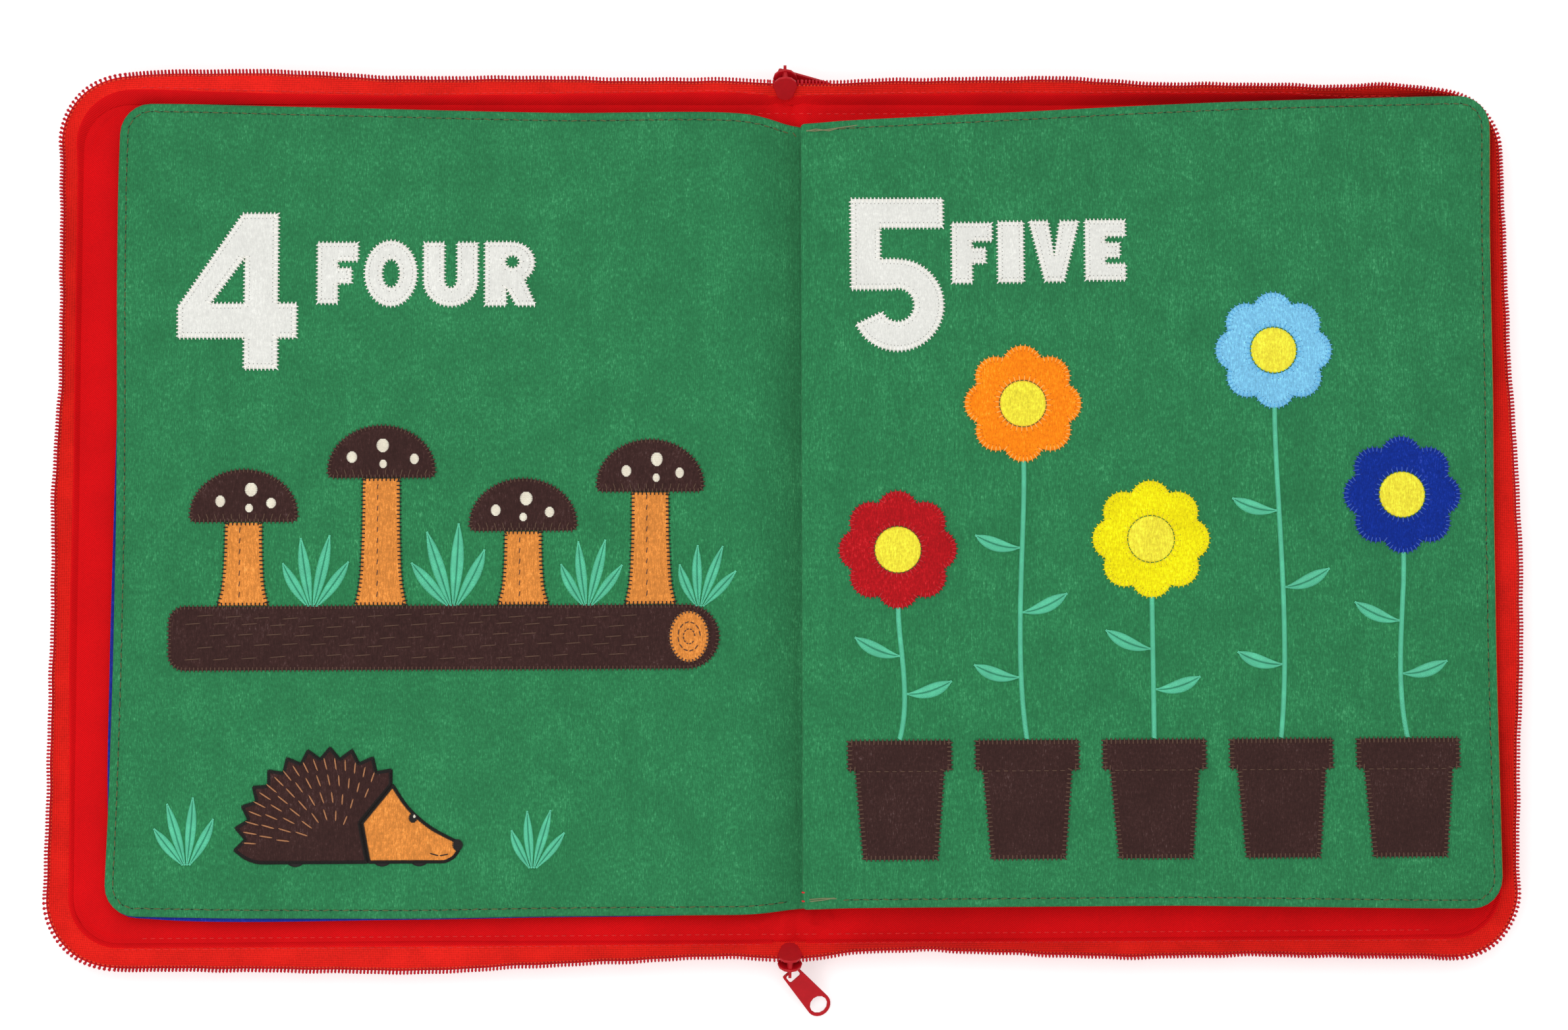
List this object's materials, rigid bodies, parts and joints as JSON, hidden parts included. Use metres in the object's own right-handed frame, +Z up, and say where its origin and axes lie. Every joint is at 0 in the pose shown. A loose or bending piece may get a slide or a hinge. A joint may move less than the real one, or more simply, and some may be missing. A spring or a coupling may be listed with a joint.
{
  "type": "soft counting book",
  "caption": "Soft cloth counting book: felt leaves with felt shapes, held in a padded case that a coil zip closes on three sides.",
  "frame": {"origin": "underside of the spine, at its middle, on the surface that the open book lies on", "axes": "+X to the reader's right across the open book, +Y to the head of the pages, +Z up"},
  "size_m": [0.5988, 0.3926, 0.0199],
  "materials": {
    "twill_red": "red cotton twill",
    "lining_red": "red woven lining cloth",
    "wadding": "needled polyester wadding",
    "tape_red": "woven zip tape",
    "coil_red": "dyed nylon coil",
    "slider_red": "crimson enamel on die cast zinc",
    "felt_green": "craft felt",
    "felt_blue": "craft felt",
    "felt_orange": "craft felt",
    "felt_yellow": "craft felt",
    "felt_red": "craft felt",
    "felt_light_blue": "craft felt",
    "felt_white": "craft felt",
    "felt_brown": "craft felt",
    "felt_tan": "craft felt"
  },
  "bodies": {
    "back_cover": {"back_shell": "twill_red", "back_padding": "wadding", "back_lining": "lining_red", "spine_panel": "twill_red", "spine_lining": "lining_red", "binding_foot": "lining_red", "binding_strip": "lining_red", "back_tape": "tape_red", "back_coil": "coil_red", "zip_tail_head": "tape_red", "zip_tail_foot": "tape_red"},
    "front_cover": {"front_shell": "twill_red", "front_padding": "wadding", "front_lining": "lining_red", "front_tape": "tape_red", "front_coil": "coil_red"},
    "leaf_1": {"page_1": "felt_red", "page_2": "felt_yellow"},
    "leaf_2": {"page_3": "felt_blue", "page_4": "felt_green", "numeral_four": "felt_white", "log": "felt_brown", "mushroom_stem_1": "felt_tan", "mushroom_stem_2": "felt_tan", "mushroom_stem_3": "felt_tan", "mushroom_stem_4": "felt_tan", "mushroom_cap_1": "felt_brown", "mushroom_cap_2": "felt_brown", "mushroom_cap_3": "felt_brown", "mushroom_cap_4": "felt_brown", "hedgehog_coat": "felt_brown", "hedgehog_face": "felt_tan"},
    "leaf_3": {"page_5": "felt_green", "page_6": "felt_orange", "numeral_five": "felt_white", "pot_1": "felt_brown", "pot_2": "felt_brown", "pot_3": "felt_brown", "pot_4": "felt_brown", "pot_5": "felt_brown", "flower_1": "felt_red", "flower_2": "felt_orange", "flower_3": "felt_yellow", "flower_4": "felt_light_blue", "flower_5": "felt_blue", "flower_centre_1": "felt_yellow", "flower_centre_2": "felt_yellow", "flower_centre_3": "felt_yellow", "flower_centre_4": "felt_yellow", "flower_centre_5": "felt_yellow"},
    "leaf_4": {"page_7": "felt_red", "page_8": "felt_light_blue"},
    "leaf_5": {"page_9": "felt_blue", "page_10": "felt_yellow"},
    "slider_head_body": {"slider_head": "slider_red"},
    "slider_foot_body": {"slider_foot": "slider_red"},
    "pull_head_body": {"pull_head": "slider_red"},
    "pull_foot_body": {"pull_foot": "slider_red"}
  },
  "joints": [
    {"name": "cover_fold", "type": "hinge", "parent": "back_cover", "child": "front_cover", "pos_m": [0, 0, 0.0161], "axis": [0, 1, 0], "range_deg": [0, 180], "deforming": ["spine_panel", "spine_lining", "zip_tail_head", "zip_tail_foot"]},
    {"name": "leaf_1_turn", "type": "hinge", "parent": "front_cover", "child": "leaf_1", "pos_m": [0.0073, 0, 0.0161], "axis": [0, -1, 0], "range_deg": [-180, 0]},
    {"name": "leaf_2_turn", "type": "hinge", "parent": "leaf_1", "child": "leaf_2", "pos_m": [0.0073, 0, 0.0161], "axis": [0, -1, 0], "range_deg": [-180, 0]},
    {"name": "leaf_5_turn", "type": "hinge", "parent": "back_cover", "child": "leaf_5", "pos_m": [0.0073, 0, 0.0161], "axis": [0, 1, 0], "range_deg": [-180, 0]},
    {"name": "leaf_4_turn", "type": "hinge", "parent": "leaf_5", "child": "leaf_4", "pos_m": [0.0073, 0, 0.0161], "axis": [0, 1, 0], "range_deg": [-180, 0]},
    {"name": "leaf_3_turn", "type": "hinge", "parent": "leaf_4", "child": "leaf_3", "pos_m": [0.0073, 0, 0.0161], "axis": [0, 1, 0], "range_deg": [-180, 0]},
    {"name": "slider_head_slide", "type": "slide", "parent": "back_cover", "child": "slider_head_body", "axis": [-1, 0, 0], "range_m": [-0.25, 0]},
    {"name": "slider_foot_slide", "type": "slide", "parent": "back_cover", "child": "slider_foot_body", "axis": [-1, 0, 0], "range_m": [-0.25, 0]},
    {"name": "pull_head_swing", "type": "hinge", "parent": "slider_head_body", "child": "pull_head_body", "pos_m": [0, 0.18571, 0.01167], "axis": [0.9467, -0.2948, -0.13], "range_deg": [0, 170]},
    {"name": "pull_foot_swing", "type": "hinge", "parent": "slider_foot_body", "child": "pull_foot_body", "pos_m": [0, -0.18571, 0.01167], "axis": [-0.7581, -0.6521, 0], "range_deg": [0, 80]}
  ]
}
